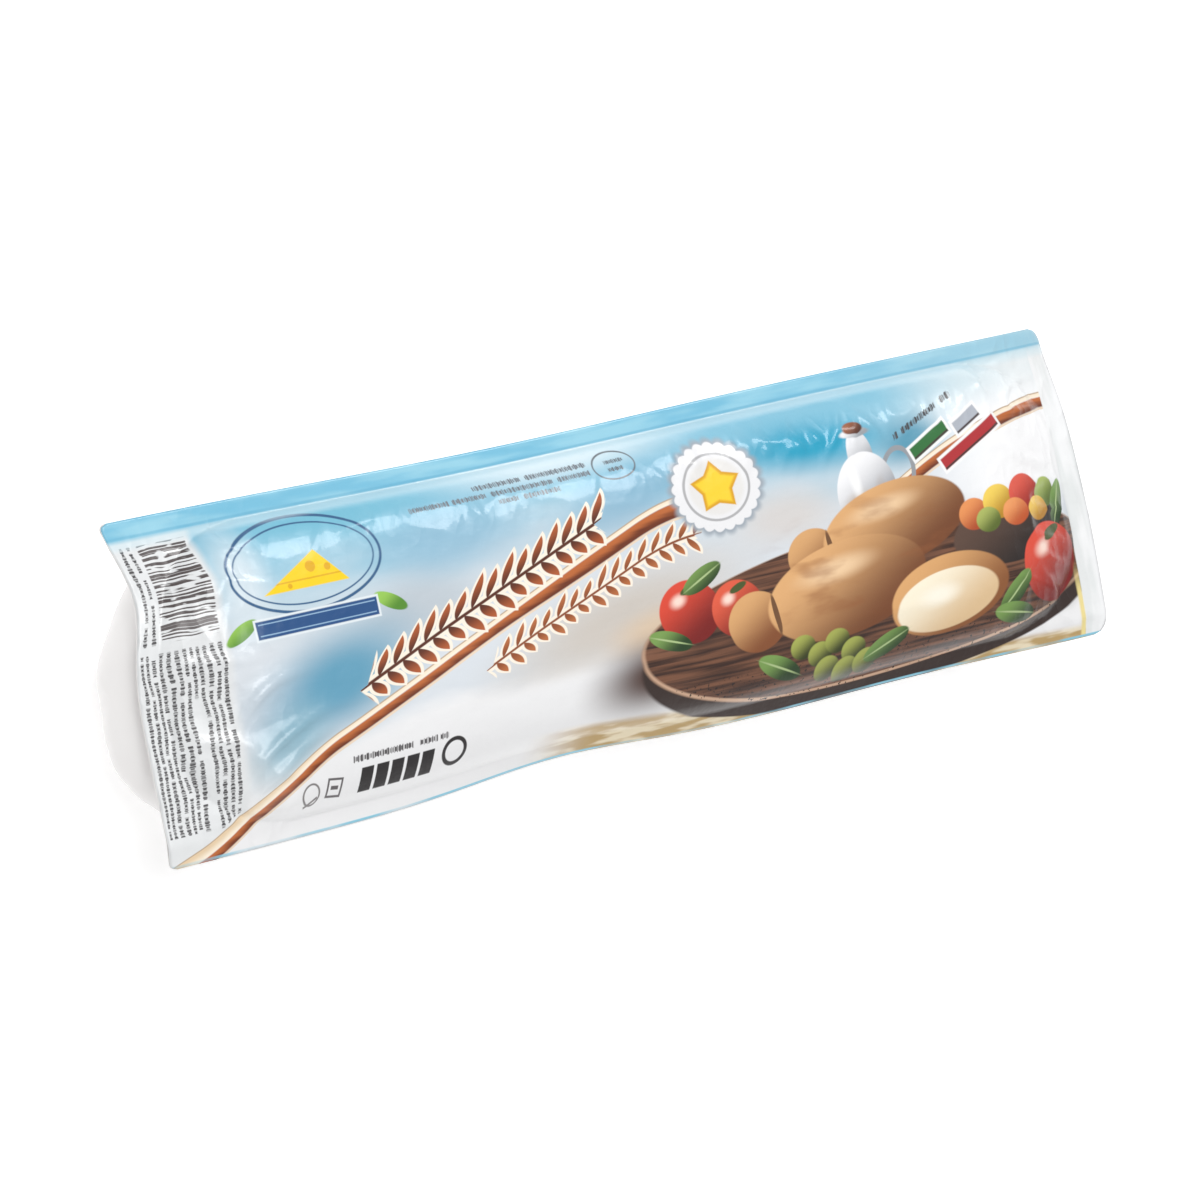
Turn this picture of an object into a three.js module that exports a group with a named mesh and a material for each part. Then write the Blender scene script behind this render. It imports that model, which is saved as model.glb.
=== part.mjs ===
// A smoked cheese log sealed in a film pack, lying on its formed tray with the printed film up.
// Millimetres, +Z up, the pack's length along X, the base of the tray at Z = 0.
import * as THREE from "three";

// Film outline and its seals
const LENGTH = 318;
const WIDTH = 92;
const END_SEAL = 7;
const SIDE_SEAL = 6;
const LEFT_CORNER_RADIUS = 2;
const RIGHT_CORNER_RADIUS = 4.5;

// The log above the seal: how high it lifts the film, and over what width the film climbs
const FILM_RISE = 10.3;
const CROWN = 1;
const TOP_END_RAMP = 33;
const TOP_SIDE_RAMP = 27.5;

// The tray below the seal
const TRAY_DEPTH = 37.2;
const TRAY_END_RAMP = 29.5;
const TRAY_SIDE_RAMP = 32.5;
const TRAY_ROUNDNESS = 2.25;
const LEFT_BULGE = 12;
const RIGHT_BULGE = 4;
const LEFT_BULGE_SIDEWAYS = 2.4;

// Web thicknesses and the gap that keeps the two pieces apart
const SEAL_THICKNESS = 0.4;
const FILM_THICKNESS = 0.3;
const FILM_GAP = 0.2;

// Brings the middle of the overall length over the origin
const CENTRE_X = 0.9;

// Facets
const END_STEPS = 3;
const CORNER_STEPS = 9;
const SIDE_STEPS = 12;
const INNER_SHARE = 0.1;
const TOP_RINGS = 9;
const TRAY_RINGS = 11;
const SEAL_RINGS = 2;

const HALF_LENGTH = LENGTH / 2;
const HALF_WIDTH = WIDTH / 2;
const POCKET_X = HALF_LENGTH - END_SEAL;
const POCKET_Y = HALF_WIDTH - SIDE_SEAL;

const { abs, cos, sin, exp, max, PI } = Math;
const { clamp, lerp, degToRad } = THREE.MathUtils;

// A smooth hill of height 1 at x = middle
function hill(x, middle, spread) {
  return exp(-(((x - middle) / spread) ** 2));
}

// One quarter of a ring, from the +X axis to the +Y axis: where each point's spoke leaves the
// straight-sided core (as shares of the core's half sizes), and the way the spoke points.
function quarterSpokes() {
  const spokes = [];
  for (let k = 0; k < END_STEPS; k++) {
    spokes.push({ core: [1, k / END_STEPS], way: [1, 0] });
  }
  for (let k = 0; k <= CORNER_STEPS; k++) {
    const turn = (PI / 2) * (k / CORNER_STEPS);
    spokes.push({ core: [1, 1], way: [cos(turn), sin(turn)] });
  }
  for (let k = 1; k <= SIDE_STEPS; k++) {
    spokes.push({ core: [1 - k / SIDE_STEPS, 1], way: [0, 1] });
  }
  return spokes;
}

function mirrored(spokes, sx, sy) {
  return spokes.map(({ core, way }) => ({
    core: [sx * core[0], sy * core[1]],
    way: [sx * way[0], sy * way[1]],
  }));
}

// All the way round, anticlockwise from the +X axis
function allSpokes() {
  const quarter = quarterSpokes();
  const far = [...quarter, ...mirrored(quarter.slice(0, -1).reverse(), -1, 1)];
  return [...far, ...mirrored(far.slice(1, -1).reverse(), 1, -1)];
}

const SPOKES = allSpokes();
const AROUND = SPOKES.length;

// The pack's own bends, as a point of the flat pack moves to where it really lies
function bend(u, v, z) {
  const nearFold = degToRad(15 + 25 * hill(u, 5, u < 5 ? 85 : 115));
  const overEdge = max(-POCKET_Y - v, 0);
  const nearShare = clamp((POCKET_Y - v) / (2 * POCKET_Y), 0, 1.2) ** 2;
  const farShare = clamp((POCKET_Y + v) / (2 * POCKET_Y), 0, 1.2) ** 2;
  const nearWaist = 2.7 * hill(u, -35, 37) + 0.9 * hill(u, 93, 50);
  const farWaist = 1.25 * hill(u, -40, 70);
  const leftEnd = clamp((-u - HALF_LENGTH + 40) / 40, 0, 1) ** 2;
  const rightEnd = clamp((u - HALF_LENGTH + 30) / 30, 0, 1) ** 2;
  const pulledIn = 4.2 * hill(v, 24.6, 14.2) - 1.4 * hill(v, HALF_WIDTH, 8);
  const x = u + leftEnd * pulledIn + rightEnd * hill(v, -16, 24);
  const y =
    v + overEdge * (1 - cos(nearFold)) + nearWaist * nearShare - farWaist * farShare;
  const lifted = 3.2 * hill(v, 16, 16) * hill(u, 14 - HALF_LENGTH, 18);
  const dropped = 6.4 * rightEnd * hill(v, HALF_WIDTH, 20);
  return new THREE.Vector3(x, y, z - overEdge * sin(nearFold) + lifted - dropped);
}

// A ring inside the pocket: out from the core along every spoke by a share of the ramp
function pocketRing(share, rampX, rampY, heightAt) {
  return SPOKES.map(({ core, way }) => {
    const endness = abs(way[0]);
    const u = core[0] * (POCKET_X - rampX) + way[0] * rampX * share;
    const v = core[1] * (POCKET_Y - rampY) + way[1] * rampY * share;
    return heightAt(u, v, share, endness, way);
  });
}

// A ring on the flat seal, between the pocket's rim and the film's outline
function sealRing(rim, share, z) {
  return SPOKES.map(({ core, way }, i) => {
    const radius = core[0] > 0 ? RIGHT_CORNER_RADIUS : LEFT_CORNER_RADIUS;
    const outerU = core[0] * (HALF_LENGTH - radius) + way[0] * radius;
    const outerV = core[1] * (HALF_WIDTH - radius) + way[1] * radius;
    return [lerp(rim[i][0], outerU, share), lerp(rim[i][1], outerV, share), z];
  });
}

// Rings from the innermost one out to the film's outline, closer together towards the rim,
// and last the middle point that closes them
function skin(ringCount, rampX, rampY, sealZ, heightAt) {
  const rings = [];
  for (let j = 0; j < ringCount; j++) {
    const outwards = 1 - (1 - j / (ringCount - 1)) ** 2;
    const share = lerp(INNER_SHARE, 1, outwards);
    rings.push(pocketRing(share, rampX, rampY, heightAt));
  }
  const rim = rings[rings.length - 1];
  for (let j = 1; j <= SEAL_RINGS; j++) {
    rings.push(sealRing(rim, j / SEAL_RINGS, sealZ));
  }
  const middle = heightAt(0, 0, 0, 0, [0, 0]);
  const points = [...rings.flat(), middle].map(([u, v, z]) => bend(u, v, z));
  return { points, ringTotal: rings.length };
}

// The film's side of the log: steep along the sides, a long slope at the ends
function topHeight(u, v, share, endness) {
  const flatness = lerp(3.2, 1.5, endness);
  const shoulder = lerp(1.35, 1.05, endness);
  const rise = max(1 - share ** flatness, 0) ** (1 / shoulder);
  const crown = CROWN * (1 - (v / POCKET_Y) ** 2);
  return [u, v, rise * (FILM_RISE + crown)];
}

// The tray's side: a rounded trough whose soft left end swells out below the seal
function trayHeight(u, v, share, endness, way) {
  const drop = max(1 - share ** TRAY_ROUNDNESS, 0) ** (1 / TRAY_ROUNDNESS);
  const swell = (4 * drop * (1 - drop)) ** 0.8 * abs(way[0]) ** 0.5;
  const out = swell * (way[0] < 0 ? -LEFT_BULGE : RIGHT_BULGE);
  const aside = way[0] < 0 ? swell * LEFT_BULGE_SIDEWAYS : 0;
  const z = -SEAL_THICKNESS - drop * (TRAY_DEPTH - SEAL_THICKNESS);
  return [u + out, v - aside, z];
}

// Triangles of one skin, facing up, its points starting at the given index
function skinFaces(ringTotal, first) {
  const faces = [];
  const middle = first + ringTotal * AROUND;
  for (let i = 0; i < AROUND; i++) {
    const next = (i + 1) % AROUND;
    faces.push(middle, first + i, first + next);
    for (let j = 0; j + 1 < ringTotal; j++) {
      const inner = first + j * AROUND;
      const outer = inner + AROUND;
      faces.push(inner + i, outer + i, outer + next);
      faces.push(inner + i, outer + next, inner + next);
    }
  }
  return faces;
}

function geometryOf(points, faces) {
  const geometry = new THREE.BufferGeometry();
  geometry.setFromPoints(points);
  geometry.setIndex(faces);
  geometry.computeVertexNormals();
  return geometry;
}

// The same skin moved along its own normals
function shifted(skinToMove, distance) {
  const { points, ringTotal } = skinToMove;
  const normals = geometryOf(points, skinFaces(ringTotal, 0)).getAttribute("normal");
  const moved = points.map((point, i) => {
    const normal = new THREE.Vector3().fromBufferAttribute(normals, i);
    return point.clone().addScaledVector(normal, distance);
  });
  return { points: moved, ringTotal };
}

// One closed body between an upper and a lower skin that share the film's outline
function bodyBetween(upper, lower) {
  const lowerFirst = upper.points.length;
  const faces = skinFaces(upper.ringTotal, 0);
  const under = skinFaces(lower.ringTotal, lowerFirst);
  for (let k = 0; k < under.length; k += 3) {
    faces.push(under[k], under[k + 2], under[k + 1]);
  }
  const upperEdge = (upper.ringTotal - 1) * AROUND;
  const lowerEdge = lowerFirst + (lower.ringTotal - 1) * AROUND;
  for (let i = 0; i < AROUND; i++) {
    const next = (i + 1) % AROUND;
    faces.push(upperEdge + i, lowerEdge + i, lowerEdge + next);
    faces.push(upperEdge + i, lowerEdge + next, upperEdge + next);
  }
  const geometry = geometryOf([...upper.points, ...lower.points], faces);
  return geometry.translate(CENTRE_X, 0, TRAY_DEPTH);
}

const logTop = skin(TOP_RINGS, TOP_END_RAMP, TOP_SIDE_RAMP, 0, topHeight);
const tray = skin(
  TRAY_RINGS,
  TRAY_END_RAMP,
  TRAY_SIDE_RAMP,
  -SEAL_THICKNESS,
  trayHeight,
);

const trayMaterial = new THREE.MeshStandardMaterial({
  color: "#eceae8",
  roughness: 0.38,
  metalness: 0,
});
const filmMaterial = new THREE.MeshStandardMaterial({
  color: "#a9cfe0",
  roughness: 0.22,
  metalness: 0,
});

const filledTray = new THREE.Mesh(bodyBetween(logTop, tray), trayMaterial);
filledTray.name = "filled_tray";

const printedFilm = new THREE.Mesh(
  bodyBetween(shifted(logTop, FILM_GAP + FILM_THICKNESS), shifted(logTop, FILM_GAP)),
  filmMaterial,
);
printedFilm.name = "printed_film";

const pack = new THREE.Group();
pack.name = "cheese_pack";
pack.add(filledTray, printedFilm);

export default pack;
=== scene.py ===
"""A cheese log sealed in a film pack: the printed film, the white tray and a soft studio.

Shapes are worked out in millimetres, u along the flat film and v across it, and turn into metres
when a mesh is made. The same functions bend the film and the tray. Inks are given as screen
colours of 0 to 255.
"""

import math

import bpy
import numpy as np
from mathutils import Matrix, Vector


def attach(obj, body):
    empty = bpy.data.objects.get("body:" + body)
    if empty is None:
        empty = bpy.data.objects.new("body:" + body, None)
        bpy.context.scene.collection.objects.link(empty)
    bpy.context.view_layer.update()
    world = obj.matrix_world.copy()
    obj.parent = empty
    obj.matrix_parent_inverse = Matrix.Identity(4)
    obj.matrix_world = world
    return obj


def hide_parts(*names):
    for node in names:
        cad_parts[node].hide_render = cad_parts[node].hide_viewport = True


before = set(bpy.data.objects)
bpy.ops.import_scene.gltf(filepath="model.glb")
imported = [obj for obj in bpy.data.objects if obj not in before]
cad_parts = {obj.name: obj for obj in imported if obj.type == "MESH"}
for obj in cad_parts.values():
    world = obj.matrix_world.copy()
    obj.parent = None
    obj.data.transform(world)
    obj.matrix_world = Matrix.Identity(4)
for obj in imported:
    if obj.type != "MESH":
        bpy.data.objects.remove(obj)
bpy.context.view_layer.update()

# Film outline and its seals
LENGTH, WIDTH = 318.0, 92.0
END_SEAL, SIDE_SEAL = 7.0, 6.0
LEFT_CORNER, RIGHT_CORNER = 2.0, 4.5

# The log above the seal
FILM_RISE, CROWN = 10.3, 1.0
TOP_END_RAMP, TOP_SIDE_RAMP = 33.0, 27.5

# The tray below the seal
TRAY_DEPTH = 37.2
TRAY_END_RAMP, TRAY_SIDE_RAMP = 29.5, 32.5
TRAY_ROUNDNESS = 2.25
LEFT_BULGE, RIGHT_BULGE, LEFT_BULGE_SIDEWAYS = 12.0, 4.0, 2.4

# How full the log's section is: along its sides, and at its ends
SIDE_FLATNESS, END_FLATNESS = 3.2, 1.5
SIDE_SHOULDER, END_SHOULDER = 1.35, 1.05

# The near seal's fold in degrees: all along, and more of it in the middle
SEAL_FOLD, MIDDLE_FOLD = 15, 25

# How far the pack's bends move its edges
NEAR_WAIST, NEAR_RIGHT_WAIST, FAR_WAIST = 2.7, 0.9, 1.25
LEFT_PULL, LEFT_LIFT = 4.2, 3.2
CORNER_SWELL, CORNER_DROP = 1.4, 6.4

# Heights of the film's wrinkles, and depths of the tray's creases
FAN_HEIGHT, CRINKLE_HEIGHT, UNEVENNESS = 1.3, 0.8, 0.6
CREASE_DEPTH, FACET_DEPTH, DENT_DEPTH = 0.45, 0.25, 0.6

SEAL_THICKNESS, FILM_GAP, FILM_THICKNESS = 0.4, 0.2, 0.3

# Moves the pack along x, so that its box is centred
CENTRE_X = 0.9
MM_PER_METRE = 1000

HALF_LENGTH, HALF_WIDTH = LENGTH / 2, WIDTH / 2
POCKET_X, POCKET_Y = HALF_LENGTH - END_SEAL, HALF_WIDTH - SIDE_SEAL

# Single folds of the film: place, direction in degrees, how it curves, length, width, height
FOLDS = (
    (-128, -5, 32, 0.03, 9.0, 1.2, 2.1),
    (-123, -17.5, 28, 0.012, 12.0, 1.15, 1.8),
    (-127, -27, 33, 0.0, 8.0, 1.2, 1.5),
    (-115, -20, 20, 0.0, 6.0, 1.3, 0.9),
    (-136, 9, 82, 0.02, 9.0, 1.5, 1.0),
    (-133, 25, 58, -0.02, 7.0, 1.5, 1.0),
    (-126, 34, 12, 0.0, 8.0, 1.4, 0.8),
    (-146, -22, 100, 0.008, 14.0, 1.6, 0.7),
    (4, -22, 3, 0.0, 34.0, 1.7, 0.5),
    (70, -24, -2, 0.0, 26.0, 1.6, 0.4),
    (8, 27, -62, 0.0, 2.6, 1.1, 0.8),
    (20, 29, -20, 0.0, 3.0, 1.1, 0.7),
    (44.5, 28, -50, 0.0, 1.8, 1.1, 0.9),
    (55, 28, -60, 0.0, 2.6, 1.0, 1.0),
    (62, 28.5, -60, 0.0, 2.6, 1.0, 1.0),
    (73, 29, 0, 0.0, 3.0, 1.0, 0.8),
    (81, 29, -64, 0.01, 5.0, 1.1, 1.1),
    (-52, 29, -55, 0.0, 3.0, 1.1, 0.7),
    (-88, 33, 10, 0.0, 6.0, 1.3, 0.7),
    (112, 33, 75, 0.02, 5.0, 1.3, 0.9),
    (124, 34, 100, -0.03, 5.0, 1.3, 0.9),
    (135, 33, 62, 0.0, 7.0, 1.6, 1.0),
    (143, 18, 97, 0.006, 13.0, 2.2, 0.9),
    (148, -12, 92, -0.005, 12.0, 2.0, 0.7),
    (137, -28, 130, 0.0, 6.0, 1.6, 0.9),
)

# The print is laid in zones along the film, so that each holds only its own inks
ZONE_ENDS = (-200.0, -71.0, 2.0, 75.0, 200.0)

# Millimetres of film to one unit of its map
MAP_UNIT = 100


# ---------------------------------------------------------------- shape


def hill(x, middle, spread):
    """A smooth hill of height 1 at x = middle."""
    return np.exp(-(((x - middle) / spread) ** 2))


def bend(u, v, z):
    """The pack's own bends: the near seal folds down, the sides are drawn in to a waist, the left
    edge is pulled in and lifted by the log's end, the right edge swells and its far corner drops.
    Each bend is its greatest move times hills of u and v around the place where it is greatest."""
    near_fold = np.radians(SEAL_FOLD + MIDDLE_FOLD * hill(u, 5, np.where(u < 5, 85, 115)))
    over_edge = np.maximum(-POCKET_Y - v, 0)
    near_share = np.clip((POCKET_Y - v) / (2 * POCKET_Y), 0, 1.2) ** 2
    far_share = np.clip((POCKET_Y + v) / (2 * POCKET_Y), 0, 1.2) ** 2
    near_waist = NEAR_WAIST * hill(u, -35, 37) + NEAR_RIGHT_WAIST * hill(u, 93, 50)
    far_waist = FAR_WAIST * hill(u, -40, 70)
    left_end = np.clip((-u - HALF_LENGTH + 40) / 40, 0, 1) ** 2
    right_end = np.clip((u - HALF_LENGTH + 30) / 30, 0, 1) ** 2
    pulled_in = LEFT_PULL * hill(v, 24.6, 14.2) - CORNER_SWELL * hill(v, HALF_WIDTH, 8)
    lifted = LEFT_LIFT * hill(v, 16, 16) * hill(u, 14 - HALF_LENGTH, 18)
    dropped = CORNER_DROP * right_end * hill(v, HALF_WIDTH, 20)
    x = u + left_end * pulled_in + right_end * hill(v, -16, 24)
    y = v + over_edge * (1 - np.cos(near_fold)) + near_waist * near_share - far_waist * far_share
    return np.stack([x, y, z - over_edge * np.sin(near_fold) + lifted - dropped], -1)


def log_rise(share, endness, v):
    """Height of the log's top above the seal: steep along the sides, a long slope at the ends.
    It is (1 - share ^ flatness) ^ (1 / shoulder) of the rise, which is crowned across the log."""
    flatness = SIDE_FLATNESS + (END_FLATNESS - SIDE_FLATNESS) * endness
    shoulder = SIDE_SHOULDER + (END_SHOULDER - SIDE_SHOULDER) * endness
    rise = np.maximum(1 - share**flatness, 0) ** (1 / shoulder)
    return rise * (FILM_RISE + CROWN * (1 - (v / POCKET_Y) ** 2))


def lattice_noise(x, y, seed):
    """Smooth random heights from -1 to 1: random numbers on unit squares, blended smoothly by
    3 f ^ 2 - 2 f ^ 3."""
    cells = 128
    lattice = np.random.default_rng(seed).uniform(-1, 1, (cells, cells))
    i, j = np.floor(x).astype(int), np.floor(y).astype(int)
    fx, fy = x - i, y - j
    fx, fy = fx * fx * (3 - 2 * fx), fy * fy * (3 - 2 * fy)
    i, next_i, j, next_j = i % cells, (i + 1) % cells, j % cells, (j + 1) % cells
    low = lattice[i, j] * (1 - fx) + lattice[next_i, j] * fx
    high = lattice[i, next_j] * (1 - fx) + lattice[next_i, next_j] * fx
    return low * (1 - fy) + high * fy


def crests(x, y, seed):
    """Sharp crests between soft hollows, from 0 to 1: (1 - |noise|) ^ 4, so they follow the lines
    where the noise passes through zero."""
    return (1 - np.abs(lattice_noise(x, y, seed))) ** 4


def single_folds(u, v):
    """Each fold is a crest height / (1 + (across / width)^2), fading as exp(-(along / length)^2)."""
    total = np.zeros_like(u)
    for x, y, turn, curve, length, width, height in FOLDS:
        c, s = math.cos(math.radians(turn)), math.sin(math.radians(turn))
        along = (u - x) * c + (v - y) * s
        across = (v - y) * c - (u - x) * s + curve * along**2
        total += height * np.exp(-((along / length) ** 2)) / (1 + (across / width) ** 2)
    return total


def film_wrinkles(u, v):
    """How far wrinkles lift the film: the single folds, crests that fan from the log's ends, short
    crests on the far shoulder and a slow unevenness, added up and faded out towards the seals."""
    clear_of_ends = np.clip((POCKET_X + 2 - np.abs(u)) / 9, 0, 1)
    clear_of_sides = np.clip((POCKET_Y - np.abs(v)) / 5, 0, 1)
    ends = hill(np.abs(u), 136, 12)
    fan = crests(u / 24, v / (6 + 0.05 * np.abs(np.abs(u) - 110)) + u / 60, 3)
    shoulder = hill(v, 29, 8) * (0.35 + hill(u, 62, 48))
    crinkle = crests(u / 9 - v / 14, v / 13 + u / 40, 5)
    slow = lattice_noise(u / 33, v / 21, 11) + 0.5 * lattice_noise(u / 15, v / 12, 13)
    lift = FAN_HEIGHT * ends * fan + CRINKLE_HEIGHT * shoulder * crinkle + single_folds(u, v)
    return clear_of_ends * clear_of_sides * (lift + UNEVENNESS * slow)


def film_points(u, v):
    """The log's side of the film for flat film points u, v, wrinkles and all. share is how far a
    point is out from the flat core towards the seal, as a distance in ramp lengths."""
    p = np.maximum(np.abs(u) - (POCKET_X - TOP_END_RAMP), 0) / TOP_END_RAMP
    q = np.maximum(np.abs(v) - (POCKET_Y - TOP_SIDE_RAMP), 0) / TOP_SIDE_RAMP
    share = np.hypot(p, q)
    endness = p / np.maximum(share, 1e-6)
    return bend(u, v, log_rise(share, endness, v) + film_wrinkles(u, v))


def grid_normals(points):
    """Unit normals of a grid of points, from the cross product of its two directions."""
    normal = np.cross(np.gradient(points, axis=1), np.gradient(points, axis=0))
    return normal / np.linalg.norm(normal, axis=-1, keepdims=True)


# ---------------------------------------------------------------- meshes


def make_piece(name, points, faces, node):
    """A smooth mesh object from points in pack millimetres and faces of three or four corners."""
    mesh = bpy.data.meshes.new(name)
    place = np.array([CENTRE_X, 0, TRAY_DEPTH])
    mesh.from_pydata((points + place) / MM_PER_METRE, [], faces)
    mesh.validate()
    mesh.polygons.foreach_set("use_smooth", np.ones(len(mesh.polygons), bool))
    piece = bpy.data.objects.new(name, mesh)
    bpy.context.scene.collection.objects.link(piece)
    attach(piece, "root")
    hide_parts(node)
    return piece


def spaced(*stops):
    """Numbers from the first stop to the last, with a step given for each stretch between them."""
    values = [np.array([stops[0]])]
    for start, step, end in zip(stops[:-2:2], stops[1:-1:2], stops[2::2]):
        count = max(1, round((end - start) / step))
        values.append(start + (end - start) * np.arange(1, count + 1) / count)
    return np.concatenate(values)


def make_film(zones, back):
    """The printed film as a closed thin shell: a grid over the flat film, its corners rounded by
    drawing in the ends of each row, bent over the log, and the same grid again underneath."""
    # The steps are finest where the folds are: at the ends and along the shoulders
    half_u = spaced(0, 1.05, 116, 0.75, 152, 1.0, HALF_LENGTH)
    half_v = spaced(0, 1.05, 20, 0.7, 41, 0.9, HALF_WIDTH)
    u = np.concatenate([-half_u[:0:-1], half_u])
    v = np.concatenate([-half_v[:0:-1], half_v])
    for zone_end in ZONE_ENDS[1:-1]:
        u[np.argmin(np.abs(u - zone_end))] = zone_end
    u, v = np.meshgrid(u, v)
    radius = np.where(u > 0, RIGHT_CORNER, LEFT_CORNER)
    past = np.clip(np.abs(v) - (HALF_WIDTH - radius), 0, radius)
    drawn_in = radius - np.sqrt(radius**2 - past**2)
    u = u * (1 - drawn_in / HALF_LENGTH)

    middle = film_points(u, v)
    normals = grid_normals(middle)
    upper = middle + normals * (FILM_GAP + FILM_THICKNESS)
    lower = middle + normals * FILM_GAP
    rows, columns = u.shape
    index = np.arange(rows * columns).reshape(rows, columns)
    a, b, c, d = index[:-1, :-1], index[:-1, 1:], index[1:, 1:], index[1:, :-1]
    top_faces = np.stack([a, b, c, d], -1).reshape(-1, 4)
    below = rows * columns
    edge = np.concatenate([index[0, :-1], index[:-1, -1], index[-1, :0:-1], index[:0:-1, 0]])
    following = np.roll(edge, -1)
    rim_faces = np.stack([edge, edge + below, following + below, following], -1)
    faces = np.concatenate([top_faces, top_faces[:, ::-1] + below, rim_faces])
    points = np.concatenate([upper.reshape(-1, 3), lower.reshape(-1, 3)])
    piece = make_piece("film_print", points, faces, "printed_film")

    mesh = piece.data
    flat = np.stack([u.ravel(), v.ravel()], -1) / MAP_UNIT
    flat = np.concatenate([flat, flat])
    corner_points = np.empty(len(mesh.loops), np.int32)
    mesh.loops.foreach_get("vertex_index", corner_points)
    mesh.uv_layers.new(name="flat_film").data.foreach_set("uv", flat[corner_points].ravel())
    for material in (*zones, back):
        mesh.materials.append(material)
    middle_u = u.ravel()[top_faces].mean(1)
    zone = np.searchsorted(ZONE_ENDS, middle_u) - 1
    under = np.full(len(top_faces) + len(rim_faces), len(zones))
    kind = np.concatenate([zone, under]).astype(np.int32)
    mesh.polygons.foreach_set("material_index", kind)


def spokes(end_steps, corner_steps, side_steps):
    """Spokes all the way round from the +X axis: where each leaves the straight-sided core, as
    shares of the core's half sizes, and which way it points."""
    turn = np.linspace(0, math.pi / 2, corner_steps + 1)
    along_end = np.arange(end_steps) / end_steps
    along_side = 1 - np.arange(1, side_steps + 1) / side_steps
    core = np.concatenate(
        [
            np.stack([np.ones(end_steps), along_end], -1),
            np.ones((corner_steps + 1, 2)),
            np.stack([along_side, np.ones(side_steps)], -1),
        ]
    )
    way = np.concatenate(
        [
            np.tile([1.0, 0.0], (end_steps, 1)),
            np.stack([np.cos(turn), np.sin(turn)], -1),
            np.tile([0.0, 1.0], (side_steps, 1)),
        ]
    )
    quarter = np.concatenate([core, way], -1)
    far = np.concatenate([quarter, quarter[-2::-1] * [-1, 1, -1, 1]])
    ring = np.concatenate([far, far[-2:0:-1] * [1, -1, 1, -1]])
    return ring[:, :2], ring[:, 2:]


def pocket_ring(core, way, share, ramp_x, ramp_y):
    """Flat points a share of the ramp out from the core."""
    u = core[:, 0] * (POCKET_X - ramp_x) + way[:, 0] * ramp_x * share
    v = core[:, 1] * (POCKET_Y - ramp_y) + way[:, 1] * ramp_y * share
    return u, v


def tray_ring(core, way, share):
    """A ring of the trough: a rounded drop from the rim to the flat base, its soft ends swelling
    out on the way down, with slack creases in the left swelling and shallow dents in the sides.
    With r the roundness the drop is (1 - share ^ r) ^ (1 / r), and the swelling is greatest half
    way down, as 4 drop (1 - drop)."""
    u, v = pocket_ring(core, way, share, TRAY_END_RAMP, TRAY_SIDE_RAMP)
    drop = np.maximum(1 - share**TRAY_ROUNDNESS, 0) ** (1 / TRAY_ROUNDNESS)
    half_way = 4 * drop * (1 - drop)
    swell = half_way**0.8 * np.sqrt(np.abs(way[:, 0]))
    crease = crests(v / 9 + drop * 1.5, np.full_like(v, drop * 2.2), 21)
    facet = crests(v / 17 - drop * 2.5, v / 40 + drop * 1.4, 33)
    left = way[:, 0] < 0
    slack = swell * (CREASE_DEPTH * crease + FACET_DEPTH * facet) * left
    u = u + np.where(left, -LEFT_BULGE, RIGHT_BULGE) * swell + slack
    dent = DENT_DEPTH * crests(u / 21 + drop * 1.4, drop * 1.3 + 9.0 * (v > 0), 41) * half_way
    v = v - LEFT_BULGE_SIDEWAYS * swell * left - dent * way[:, 1]
    return bend(u, v, np.full_like(u, -SEAL_THICKNESS - drop * (TRAY_DEPTH - SEAL_THICKNESS)))


def seal_ring(core, way, rim, share, z):
    """A ring of the flat seal, a share of the way from the pocket's rim to the outline."""
    radius = np.where(core[:, 0] > 0, RIGHT_CORNER, LEFT_CORNER)
    outer_u = core[:, 0] * (HALF_LENGTH - radius) + way[:, 0] * radius
    outer_v = core[:, 1] * (HALF_WIDTH - radius) + way[:, 1] * radius
    u = rim[0] + (outer_u - rim[0]) * share
    v = rim[1] + (outer_v - rim[1]) * share
    return bend(u, v, np.full_like(u, z))


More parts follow.
